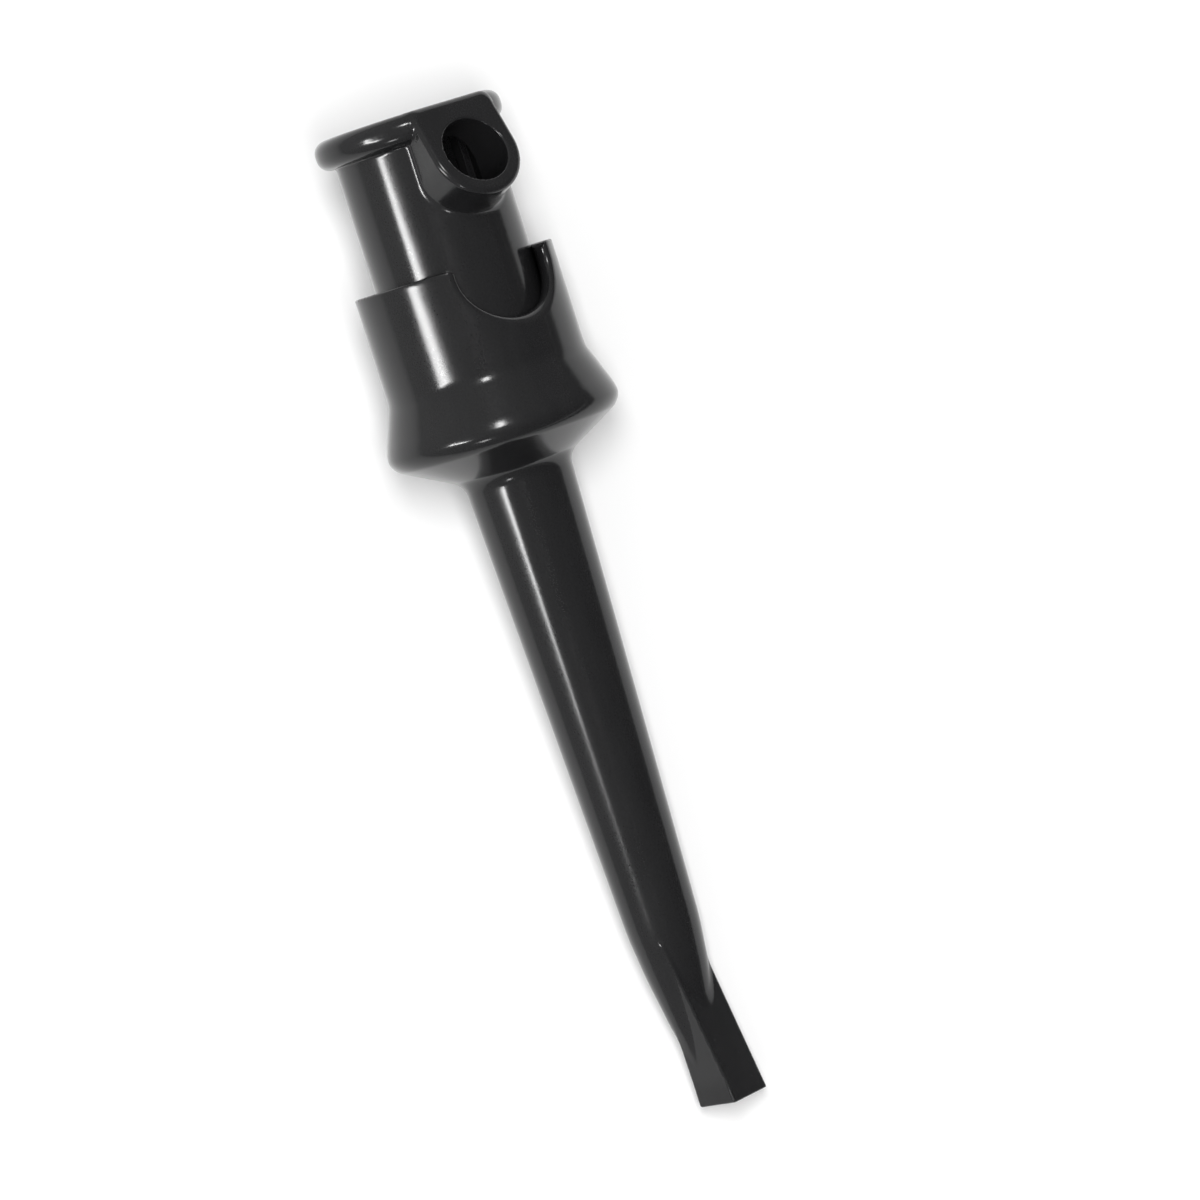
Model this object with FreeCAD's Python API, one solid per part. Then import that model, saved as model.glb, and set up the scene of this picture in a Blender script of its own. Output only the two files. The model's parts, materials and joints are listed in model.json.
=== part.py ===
import FreeCAD, Part
import math
import os

# A spring-loaded mini hook test clip, in millimetres.
# In the clip's own frame z runs from the end of the tip up to the thumb flange, x points
# to the side that lies uppermost on a bench, and y points across, to the side that the
# tip leans to. The last section lays the finished pieces down on the bench.

# Housing: cup, collar, nose and tip, moulded in one piece
TIP_LENGTH = 7.74            # end of the tip to the round end of the nose
NOSE_LENGTH = 29.1           # round end of the nose to the collar's underside
NOSE_END_RADIUS = 1.80       # where the nose meets the tip
NOSE_SHOULDER_RADIUS = 2.08  # where the nose starts to round in to its end
NOSE_SHOULDER_RISE = 2.5     # from the nose's end up to that point
NOSE_ROOT_RADIUS = 3.04      # where the nose meets the collar
NOSE_END_ROUNDING = 0.45
NOSE_SHOULDER_BLEND = 20.0
NOSE_ROOT_BLEND = 0.5
COLLAR_RADIUS = 6.86         # sharp corner of the collar before it is rounded
COLLAR_UNDERSIDE_SLOPE = 28.7   # degrees from square to the axis
COLLAR_TOP_SLOPE = 20.0      # degrees from the axis
COLLAR_ROUNDING = 0.9
COLLAR_BLEND = 1.2           # hollow blend between the collar and the cup
CUP_RADIUS = 5.65
CUP_WALL = 1.12
CUP_LENGTH = 6.08             # collar's top to the rim
FLOOR_WALL = 0.95             # plastic between the cup's floor and the collar's underside
SPRING_POCKET_DEPTH = 1.5
NOTCH_WIDTH = 5.9
NOTCH_DEPTH = 3.85

# Tip: a square bar on its edge, which leans across as it goes down
TIP_FLAT_AT_NOSE = 1.30     # axis to the two flats that lean outward, at the nose
TIP_FLAT_AT_END = 1.965
TIP_BACK_AT_END = 0.81       # axis to the two flats behind them, at the end
TIP_BACK_AT_WAIST = 0.83
TIP_BACK_AT_HIP = 1.42
TIP_BACK_AT_ROOT = 1.68
TIP_WAIST_HEIGHT = 3.7
TIP_HIP_HEIGHT = 6.0
TIP_ROOT_HEIGHT = 9.6        # how far the bar reaches up inside the nose
TIP_BEND_RADIUS = 3.0
TIP_EDGE_ROUNDING = 0.10
TIP_TRIM_OFFSET = 0.42       # the round trim starts this far from the axis
TIP_TRIM_RADIUS = 1.23       # round trim behind the bar, at the waist

# Plunger: barrel with a thumb flange and an angled lead boss
BARREL_CLEARANCE = 0.10
BARREL_WALL = 1.30
BARREL_LENGTH = 11.2         # bottom of the barrel to the flange
BARREL_LEAD_IN = 0.6
FLANGE_RADIUS = 5.31
FLANGE_THICKNESS = 1.65
FLANGE_ROUNDING = 0.72
FLANGE_HEIGHT = 7.15         # rim of the cup to the flange's underside, at rest
TOP_WALL = 1.5
BOSS_AZIMUTH = 34.6          # degrees from x towards y
BOSS_ELEVATION = 21.0        # the lead hole points up by this many degrees
BOSS_REACH = 5.66            # axis to the middle of the boss's face
BOSS_DROP = 2.95              # top of the plunger to the middle of the boss's face
BOSS_WALL = 0.80
BOSS_EDGE_ROUNDING = 0.25
BOSS_BLEND = 0.35            # hollow blend between the boss and the barrel
LEAD_HOLE_RADIUS = 1.96
STOP_RIBS = 3
STOP_RIB_WIDTH = 0.7
STOP_RIB_DEPTH = 0.45

# Hook wire, terminal and spring
WIRE_RADIUS = 0.35
WIRE_CLEARANCE = 0.06
HOOK_PITCH = 1.2             # shank to return leg, centre to centre
HOOK_LEG = 1.15              # straight end of the return leg
HOOK_INSET = 0.12            # end of the tip to the drawn-in hook
HOOK_STOP_GAP = 0.05
SLOT_CLEARANCE = 0.08
TERMINAL_FLANGE_THICKNESS = 0.6
TERMINAL_SLEEVE_RADIUS = 1.1
TERMINAL_SLEEVE_LENGTH = 2.2
TERMINAL_SPIGOT_LENGTH = 0.7
LEAD_CUP_RADIUS = 0.7
LEAD_CUP_DEPTH = 1.5
SPRING_WIRE_RADIUS = 0.175   # to the flats of the wire
SPRING_WIRE_SIDES = 6
SPRING_RADIUS = 2.0          # middle of the spring's wire
SPRING_PITCH = 1.7
SPRING_CLEARANCE = 0.2
TRAVEL = 5.8                 # how far the plunger is pressed in

ROUNDING_STEP = 27.0         # degrees that each straight step of a turned rounding covers

# Heights along the clip that follow from the sizes
underside_slope = math.radians(COLLAR_UNDERSIDE_SLOPE)
top_slope = math.radians(COLLAR_TOP_SLOPE)
nose_end = TIP_LENGTH
nose_root = nose_end + NOSE_LENGTH
collar_corner = nose_root + (COLLAR_RADIUS - NOSE_ROOT_RADIUS) * math.tan(underside_slope)
cup_start = collar_corner + (COLLAR_RADIUS - CUP_RADIUS) / math.tan(top_slope)
rim = cup_start + CUP_LENGTH
cup_bore = CUP_RADIUS - CUP_WALL
barrel_radius = cup_bore - BARREL_CLEARANCE
barrel_bore = barrel_radius - BARREL_WALL
flange_bottom = rim + FLANGE_HEIGHT
flange_top = flange_bottom + FLANGE_THICKNESS
barrel_bottom = flange_bottom - BARREL_LENGTH
bore_top = flange_top - TOP_WALL
boss_azimuth = math.radians(BOSS_AZIMUTH)
boss_elevation = math.radians(BOSS_ELEVATION)
boss_radius = LEAD_HOLE_RADIUS + BOSS_WALL
notch_bottom = rim - NOTCH_DEPTH


def underside_at(radius):
    """Height of the collar's underside at a radius."""
    return nose_root + (radius - NOSE_ROOT_RADIUS) * math.tan(underside_slope)


floor_corner = barrel_radius - BARREL_LEAD_IN
floor = underside_at(floor_corner) + FLOOR_WALL / math.cos(underside_slope)
spring_pocket_radius = SPRING_RADIUS + SPRING_WIRE_RADIUS + SPRING_CLEARANCE
spring_seat = floor - SPRING_POCKET_DEPTH
wire_bore = WIRE_RADIUS + WIRE_CLEARANCE
hook_centre = HOOK_INSET + WIRE_RADIUS + HOOK_PITCH / 2
leg_top = hook_centre + HOOK_LEG
slot_top = leg_top + HOOK_STOP_GAP
slot_width = 2 * (WIRE_RADIUS + SLOT_CLEARANCE)
boss_face = FreeCAD.Vector(BOSS_REACH, 0, flange_top - BOSS_DROP)
boss_axis = FreeCAD.Vector(math.cos(boss_elevation), 0, math.sin(boss_elevation))
sleeve_top = flange_top - BOSS_DROP - BOSS_REACH * math.tan(boss_elevation) - LEAD_HOLE_RADIUS
flange_seat = sleeve_top - TERMINAL_SLEEVE_LENGTH
terminal_bottom = flange_seat - TERMINAL_FLANGE_THICKNESS
far = 4 * flange_top         # longer than the whole clip, for cutters that run right out
close = 1e-4                 # two places this near are the same place


def rounding_edges(before, here, after, rounding, stepped):
    """Edges that round a corner: one arc, or short straight steps along it."""
    back = (before - here).normalize()
    on = (after - here).normalize()
    half = back.getAngle(on) / 2
    centre = here + (back + on).normalize() * (rounding / math.sin(half))
    start = here + back * (rounding / math.tan(half)) - centre
    end = here + on * (rounding / math.tan(half)) - centre
    if not stepped:
        middle = (start + end).normalize() * rounding
        return [Part.Arc(centre + start, centre + middle, centre + end).toShape()]
    arc = start.getAngle(end)
    steps = math.ceil(math.degrees(arc) / ROUNDING_STEP)
    points = []
    for step in range(steps + 1):
        angle = arc * step / steps
        points.append(centre + start * (math.sin(arc - angle) / math.sin(arc))
                      + end * (math.sin(angle) / math.sin(arc)))
    return [Part.LineSegment(a, b).toShape() for a, b in zip(points, points[1:])]


def rounded_wire(corners, stepped=False):
    """Closed outline in the r-z plane, from (r, z, rounding) corners joined by lines."""
    points = [FreeCAD.Vector(r, 0, z) for r, z, rounding in corners]
    rounds = []
    for index, (r, z, rounding) in enumerate(corners):
        before = points[index - 1]
        after = points[(index + 1) % len(points)]
        rounds.append(rounding_edges(before, points[index], after, rounding, stepped)
                      if rounding else [])
    edges = []
    for index, edges_here in enumerate(rounds):
        edges_next = rounds[(index + 1) % len(points)]
        leave = edges_here[-1].lastVertex().Point if edges_here else points[index]
        arrive = (edges_next[0].firstVertex().Point if edges_next
                  else points[(index + 1) % len(points)])
        edges += edges_here
        if leave.distanceToPoint(arrive) > close:
            edges.append(Part.LineSegment(leave, arrive).toShape())
    return Part.Wire(edges)


def turned(corners):
    """Solid of revolution about z.

    Its roundings are short straight steps: on arcs as small as these they stray by under
    0.03 mm, and each one turns into a plain cone with few facets.
    """
    face = Part.Face(rounded_wire(corners, stepped=True))
    return face.revolve(FreeCAD.Vector(0, 0, 0), FreeCAD.Vector(0, 0, 1), 360)


def rod(radius, bottom, top, x=0, y=0):
    """Round bar along z."""
    return Part.makeCylinder(radius, top - bottom, FreeCAD.Vector(x, y, bottom))


def block(x0, x1, y0, y1, z0, z1):
    """Rectangular block between two corners."""
    return Part.makeBox(x1 - x0, y1 - y0, z1 - z0, FreeCAD.Vector(x0, y0, z0))


def turn(shape, angle):
    """Copy of a shape, turned about z by an angle in radians."""
    copy = shape.copy()
    copy.rotate(FreeCAD.Vector(0, 0, 0), FreeCAD.Vector(0, 0, 1), math.degrees(angle))
    return copy


def tip_bar():
    """Square bar on its edge: the same leaning outline crossed from two sides."""
    lean = (TIP_FLAT_AT_END - TIP_FLAT_AT_NOSE) / TIP_LENGTH
    flat_at_root = TIP_FLAT_AT_END - lean * TIP_ROOT_HEIGHT
    outline = rounded_wire([
        (-TIP_BACK_AT_END, 0, 0),
        (TIP_FLAT_AT_END, 0, 0),
        (flat_at_root, TIP_ROOT_HEIGHT, 0),
        (-TIP_BACK_AT_ROOT, TIP_ROOT_HEIGHT, 0),
        (-TIP_BACK_AT_HIP, TIP_HIP_HEIGHT, TIP_BEND_RADIUS),
        (-TIP_BACK_AT_WAIST, TIP_WAIST_HEIGHT, TIP_BEND_RADIUS)])
    reach = 2 * FLANGE_RADIUS
    outline.translate(FreeCAD.Vector(0, -reach, 0))
    slab = Part.Face(outline).extrude(FreeCAD.Vector(0, 2 * reach, 0))
    bar = turn(slab, math.radians(45)).common(turn(slab, math.radians(135)))
    long_edges = [edge for edge in bar.Edges
                  if edge.BoundBox.ZLength > TIP_EDGE_ROUNDING]
    bar = bar.makeFillet(TIP_EDGE_ROUNDING, long_edges)
    widen = (NOSE_END_RADIUS - TIP_TRIM_RADIUS) / (TIP_LENGTH - TIP_WAIST_HEIGHT)
    trim_bottom = TIP_TRIM_RADIUS - widen * TIP_WAIST_HEIGHT
    trim_top = trim_bottom + widen * far
    trim_cone = Part.makeCone(trim_bottom, trim_top, far)
    waste = block(-reach, reach, -reach, -TIP_TRIM_OFFSET, TIP_WAIST_HEIGHT, TIP_ROOT_HEIGHT)
    return bar.cut(waste.cut(trim_cone))


def housing():
    """Cup, collar, nose and tip, with the notch, the bores and the hook's slot."""
    outside = turned([
        (0, nose_end - NOSE_END_ROUNDING, 0),
        (NOSE_END_RADIUS - NOSE_END_ROUNDING / 2, nose_end - NOSE_END_ROUNDING,
         NOSE_END_ROUNDING / 2),
        (NOSE_END_RADIUS, nose_end, NOSE_END_ROUNDING),
        (NOSE_SHOULDER_RADIUS, nose_end + NOSE_SHOULDER_RISE, NOSE_SHOULDER_BLEND),
        (NOSE_ROOT_RADIUS, nose_root, NOSE_ROOT_BLEND),
        (COLLAR_RADIUS, collar_corner, COLLAR_ROUNDING),
        (CUP_RADIUS, cup_start, COLLAR_BLEND),
        (CUP_RADIUS, rim, 0),
        (0, rim, 0)])
    outside = outside.fuse(tip_bar()).removeSplitter()
    inside = turned([
        (0, spring_seat, 0),
        (spring_pocket_radius, spring_seat, 0),
        (spring_pocket_radius, floor, 0),
        (floor_corner, floor, 0),
        (cup_bore, floor + cup_bore - floor_corner, 0),
        (cup_bore, far, 0),
        (0, far, 0)])
    notch_centre = notch_bottom + NOTCH_WIDTH / 2
    notch = Part.makeCylinder(NOTCH_WIDTH / 2, far, FreeCAD.Vector(0, 0, notch_centre),
                              FreeCAD.Vector(1, 0, 0))
    notch = notch.fuse(block(0, far, -NOTCH_WIDTH / 2, NOTCH_WIDTH / 2, notch_centre, far))
    slot = block(-slot_width / 2, slot_width / 2, 0, HOOK_PITCH, -far, slot_top)
    slot = slot.fuse(rod(slot_width / 2, -far, slot_top, y=HOOK_PITCH))
    slot = slot.fuse(rod(slot_width / 2, -far, slot_top))
    cuts = [inside, turn(notch, boss_azimuth), slot, rod(wire_bore, -far, far)]
    return outside.cut(cuts)


def lead_boss():
    """Boss that is round below and runs straight up into the flange, with a flat face."""
    width = 2 * boss_radius
    length = BOSS_REACH / math.cos(boss_elevation)
    body = Part.makeCylinder(boss_radius, length)
    body = body.fuse(block(0, far, -width / 2, width / 2, 0, length)).removeSplitter()
    face_edges = [edge for edge in body.Edges if edge.BoundBox.ZMin > length - BOSS_WALL]
    body = body.makeFillet(BOSS_EDGE_ROUNDING, face_edges)
    # Local z becomes the hole's axis and local x the way up the face
    body.translate(FreeCAD.Vector(0, 0, -length))
    body.rotate(FreeCAD.Vector(0, 0, 0), FreeCAD.Vector(0, 1, 0), 90 - BOSS_ELEVATION)
    body.rotate(FreeCAD.Vector(0, 0, 0), boss_axis, 180)
    body.translate(boss_face)
    shoulder = math.hypot(BOSS_REACH - BOSS_DROP * math.tan(boss_elevation), boss_radius)
    spread = flange_top * math.tan(boss_elevation)
    cap = turned([
        (0, 0, 0),
        (shoulder + spread, 0, 0),
        (shoulder, flange_top, FLANGE_ROUNDING),
        (0, flange_top, 0)])
    return turn(body.common(cap), boss_azimuth)


def boss_seam(body):
    """Edges where the boss meets the barrel: they lie on the barrel, above its lead-in."""
    seam = []
    for edge in body.Edges:
        places = edge.discretize(5)
        on_barrel = all(abs(math.hypot(p.x, p.y) - barrel_radius) < close for p in places)
        inside = all(p.z > barrel_bottom + BARREL_LEAD_IN + close for p in places)
        level = edge.BoundBox.ZLength < close
        facing = places[2].x * math.cos(boss_azimuth) + places[2].y * math.sin(boss_azimuth) > 0
        if on_barrel and inside and facing and not level:
            seam.append(edge)
    return seam


def plunger():
    """Barrel, thumb flange and lead boss, bored from below and through the boss."""
    body = turned([
        (0, barrel_bottom, 0),
        (barrel_radius - BARREL_LEAD_IN, barrel_bottom, 0),
        (barrel_radius, barrel_bottom + BARREL_LEAD_IN, 0),
        (barrel_radius, flange_bottom, 0),
        (FLANGE_RADIUS, flange_bottom, FLANGE_ROUNDING),
        (FLANGE_RADIUS, flange_top, FLANGE_ROUNDING),
        (0, flange_top, 0)])
    beyond = Part.makeCylinder(far, far, boss_face, boss_axis)
    body = body.cut(turn(beyond, boss_azimuth)).fuse(lead_boss()).removeSplitter()
    body = body.makeFillet(BOSS_BLEND, boss_seam(body))
    bore = rod(barrel_bore, 0, bore_top)
    for index in range(STOP_RIBS):
        rib = block(barrel_bore - STOP_RIB_DEPTH, far, -STOP_RIB_WIDTH / 2,
                    STOP_RIB_WIDTH / 2, flange_seat, far)
        angle = boss_azimuth + math.pi / 2 * (index + 1)
        bore = bore.cut(turn(rib, angle))
    hole = Part.makeCylinder(LEAD_HOLE_RADIUS, 2 * BOSS_REACH, boss_face, boss_axis)
    inner = Part.makeCylinder(LEAD_HOLE_RADIUS, BOSS_REACH, boss_face, boss_axis * -1)
    return body.cut([bore, turn(hole.fuse(inner), boss_azimuth)])


def hook_wire():
    """Straight shank, half-round bend and short return leg, swept as one wire."""
    top = sleeve_top - LEAD_CUP_DEPTH
    bend_bottom = FreeCAD.Vector(0, HOOK_PITCH / 2, hook_centre - HOOK_PITCH / 2)
    shank_end = FreeCAD.Vector(0, 0, hook_centre)
    leg_start = FreeCAD.Vector(0, HOOK_PITCH, hook_centre)
    leg_end = FreeCAD.Vector(0, HOOK_PITCH, leg_top)
    path = Part.Wire([
        Part.LineSegment(FreeCAD.Vector(0, 0, top), shank_end).toShape(),
        Part.Arc(shank_end, bend_bottom, leg_start).toShape(),
        Part.LineSegment(leg_start, leg_end).toShape()])
    ring = Part.Circle(FreeCAD.Vector(0, 0, top), FreeCAD.Vector(0, 0, 1), WIRE_RADIUS)
    return path.makePipeShell([Part.Wire([ring.toShape()])], True, False)


def terminal():
    """Turned piece on the wire: spring spigot, pressed flange and sleeve with a lead cup."""
    spigot_radius = SPRING_RADIUS - SPRING_WIRE_RADIUS - SPRING_CLEARANCE
    body = rod(barrel_bore, terminal_bottom, flange_seat)
    body = body.fuse(rod(spigot_radius, terminal_bottom - TERMINAL_SPIGOT_LENGTH,
                         terminal_bottom))
    body = body.fuse(rod(TERMINAL_SLEEVE_RADIUS, flange_seat, sleeve_top))
    cup = rod(LEAD_CUP_RADIUS, sleeve_top - LEAD_CUP_DEPTH, far)
    return body.cut([cup, rod(WIRE_RADIUS, 0, sleeve_top)])


def return_spring():
    """Compression spring: half turns that climb one after the other, between two flat ones."""
    climb = terminal_bottom - spring_seat - 2 * SPRING_WIRE_RADIUS
    climbing = 2 * round(climb / SPRING_PITCH)
    height = spring_seat + SPRING_WIRE_RADIUS
    side = SPRING_RADIUS
    halves = []
    for index in range(climbing + 2):
        flat = index in (0, climbing + 1)
        rise = 0 if flat else climb / climbing
        start = FreeCAD.Vector(side, 0, height)
        middle = FreeCAD.Vector(0, math.copysign(math.hypot(side, rise / 2), side),
                                height + rise / 2)
        end = FreeCAD.Vector(-side, 0, height + rise)
        halves.append(Part.Arc(start, middle, end).toShape())
        height += rise
        side = -side
    corner = SPRING_WIRE_RADIUS / math.cos(math.pi / SPRING_WIRE_SIDES)
    section = []
    for index in range(SPRING_WIRE_SIDES + 1):
        angle = math.pi * (2 * index + 1) / SPRING_WIRE_SIDES + math.pi / 2
        section.append(FreeCAD.Vector(SPRING_RADIUS + corner * math.cos(angle), 0,
                                      spring_seat + SPRING_WIRE_RADIUS
                                      + corner * math.sin(angle)))
    return Part.Wire(halves).makePipeShell([Part.makePolygon(section)], True, False)


def bench_tilt():
    """Angle at which the tip's lower edge and the collar both touch the bench."""
    ridge = (TIP_FLAT_AT_END + TIP_BACK_AT_END) / math.sqrt(2)
    tip_drop = ridge - (math.sqrt(2) - 1) * TIP_EDGE_ROUNDING
    corner = FreeCAD.Vector(COLLAR_RADIUS, 0, collar_corner)
    inward = FreeCAD.Vector(-math.cos(underside_slope), 0, -math.sin(underside_slope))
    upward = FreeCAD.Vector(-math.sin(top_slope), 0, math.cos(top_slope))
    half = inward.getAngle(upward) / 2
    centre = corner + (inward + upward).normalize() * (COLLAR_ROUNDING / math.sin(half))
    run = centre.z
    drop = centre.x - tip_drop
    return math.atan2(drop, run) + math.asin(COLLAR_ROUNDING / math.hypot(run, drop))


def laid_down(tilt):
    """Placement that turns the clip's own frame onto the bench, with x still uppermost."""
    up = FreeCAD.Vector(-math.sin(tilt), 0, math.cos(tilt))
    across = FreeCAD.Vector(0, -1, 0)
    along = FreeCAD.Vector(math.cos(tilt), 0, math.sin(tilt))
    return FreeCAD.Placement(FreeCAD.Matrix(
        up.x, across.x, along.x, 0,
        up.y, across.y, along.y, 0,
        up.z, across.z, along.z, 0,
        0, 0, 0, 1))


def on_the_bench(pieces):
    """Lays the pieces down, with the bench at z = 0 and the origin under their middle."""
    placement = laid_down(bench_tilt())
    box = FreeCAD.BoundBox()
    for shape in pieces.values():
        shape.Placement = placement
        box.add(shape.optimalBoundingBox(False))
    placement.Base = FreeCAD.Vector(-box.Center.x, -box.Center.y, -box.ZMin)
    for shape in pieces.values():
        shape.Placement = placement
    return placement


def main():
    """Builds every piece, lays the clip on the bench and writes the files."""
    pieces = {
        "housing": housing(),
        "plunger": plunger(),
        "hook_wire": hook_wire(),
        "terminal": terminal(),
        "return_spring": return_spring(),
    }
    placement = on_the_bench(pieces)
    os.makedirs("parts", exist_ok=True)
    for name, shape in pieces.items():
        shape.exportStep("parts/" + name + ".step")
    return placement, pieces


bench_placement, built_pieces = main()
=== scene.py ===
"""A plunger test clip: black moulded nylon over a wire hook, dressed around its fixed frame.

The pieces are made in the clip's own frame: z runs from the end of the tip up to the
thumb flange, x to the side that lies uppermost, y across, to the side the tip leans to.
"""
import json
import math

import bpy
import numpy as np
from mathutils import Matrix, Vector


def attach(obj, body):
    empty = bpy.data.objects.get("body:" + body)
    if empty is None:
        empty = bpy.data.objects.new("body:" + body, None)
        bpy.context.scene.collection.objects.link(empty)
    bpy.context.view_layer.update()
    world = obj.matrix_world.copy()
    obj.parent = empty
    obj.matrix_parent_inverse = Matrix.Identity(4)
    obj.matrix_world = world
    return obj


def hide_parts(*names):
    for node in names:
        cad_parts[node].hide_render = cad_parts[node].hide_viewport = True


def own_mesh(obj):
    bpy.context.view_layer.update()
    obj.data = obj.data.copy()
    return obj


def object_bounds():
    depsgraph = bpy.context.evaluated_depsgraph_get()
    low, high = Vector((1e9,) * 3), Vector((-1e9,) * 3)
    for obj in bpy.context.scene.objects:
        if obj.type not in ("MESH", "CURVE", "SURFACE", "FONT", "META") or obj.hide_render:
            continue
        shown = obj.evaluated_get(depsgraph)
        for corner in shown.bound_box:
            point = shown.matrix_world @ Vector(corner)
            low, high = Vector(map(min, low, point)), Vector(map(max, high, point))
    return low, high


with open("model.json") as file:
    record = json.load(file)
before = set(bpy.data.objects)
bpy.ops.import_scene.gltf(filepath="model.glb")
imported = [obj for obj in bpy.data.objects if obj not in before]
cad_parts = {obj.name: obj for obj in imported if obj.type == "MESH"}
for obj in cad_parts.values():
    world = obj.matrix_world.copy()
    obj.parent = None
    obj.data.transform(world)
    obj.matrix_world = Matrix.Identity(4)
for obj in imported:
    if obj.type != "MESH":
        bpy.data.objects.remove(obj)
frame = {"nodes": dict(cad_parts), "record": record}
cad_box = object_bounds()

bl_info = {
    "name": "Test clip",
    "version": (1, 0, 0),
    "blender": (4, 5, 0),
    "location": "3D View > Sidebar > Test clip",
    "description": "Builds a mini hook test clip and its studio around the packed frame",
    "category": "Object",
}

MM = 0.001
PRESS = frame["record"]["behaviour"]["joints"][0]
MOUNTS = {mount["name"]: mount for mount in frame["record"]["mounts"]}

# Grids on which the mouldings' surfaces are found, in millimetres: the places where the
# spacing changes, and the spacing from each to the next. It is fine where the form turns.
HOUSING_ACROSS = ((-7.3, -3.2, 3.2, 7.3), (0.19, 0.105, 0.19))
HOUSING_ALONG = ((-0.3, 8.6, 11.0, 34.0, 36.0, 44.0, 48.7),
                 (0.11, 0.25, 0.8, 0.22, 0.18, 0.14))
PLUNGER_ACROSS = ((-6.6, 6.6), (0.14,))
PLUNGER_ALONG = ((44.0, 45.2, 48.0, 50.0, 57.5), (0.15, 0.5, 0.15, 0.12))
SETTLING_ROUNDS = 3     # times that the points are moved onto the surface
LEAST_SLOPE = 0.25      # squared, so that a point at a sharp corner isn't thrown off
PROBE = 0.001 * MM      # distance to each side over which a slope is taken

# Points along the wires
SHANK_POINTS = 39
BEND_POINTS = 25
LEG_POINTS = 4
SPRING_POINTS = 330

# Marks on the nylon, in millimetres or to the millimetre
FLOW_MARKS = 0.9        # to the millimetre across the clip
FLOW_STRETCH = 4        # times as long as they are wide
PIMPLES = 9.0           # to the millimetre, from the mould's steel
PIMPLE_HEIGHT = 0.0005
SINK_MARKS = 0.5        # to the millimetre, where the wall drew in as it cooled
SINK_DEPTH = 0.006
PIMPLE_SPREAD = (0.3, 0.7)      # where most values of that noise lie
STREAK_SPREAD = (0.12, 0.42)    # and those of flow marks times pimples

# Marks on bare metal
MARK_DEPTH = 0.002      # millimetres
MARK_SHADE = 0.8        # colour in the marks, as a share of the metal's
MARK_GLOSS = (0.7, 1.3)     # roughness from mark to mark, as a share of the metal's

BRIGHT_SIDE = (0.5, 0.87, 0)    # direction in which the room is bright


def linear(code):
    """Linear colour of an sRGB hex value."""
    parts = [int(code[i:i + 2], 16) / 255 for i in (1, 3, 5)]
    return [p / 12.92 if p <= 0.04045 else ((p + 0.055) / 1.055) ** 2.4 for p in parts]


def length(name, millimetres, description):
    """Property for a length, given in millimetres."""
    return bpy.props.FloatProperty(name=name, description=description, precision=6,
                                   default=millimetres * MM, unit="LENGTH", subtype="DISTANCE")


def angle(name, degrees, description):
    """Property for an angle, given in degrees."""
    return bpy.props.FloatProperty(name=name, description=description,
                                   default=math.radians(degrees), unit="ROTATION",
                                   subtype="ANGLE")


def colour(name, code, description):
    """Property for a colour, given as an sRGB hex value."""
    return bpy.props.FloatVectorProperty(name=name, description=description, size=3, min=0,
                                         max=1, default=linear(code), subtype="COLOR")


def number(name, value, description):
    """Property for a plain number."""
    return bpy.props.FloatProperty(name=name, description=description, default=value,
                                   precision=4)


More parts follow.
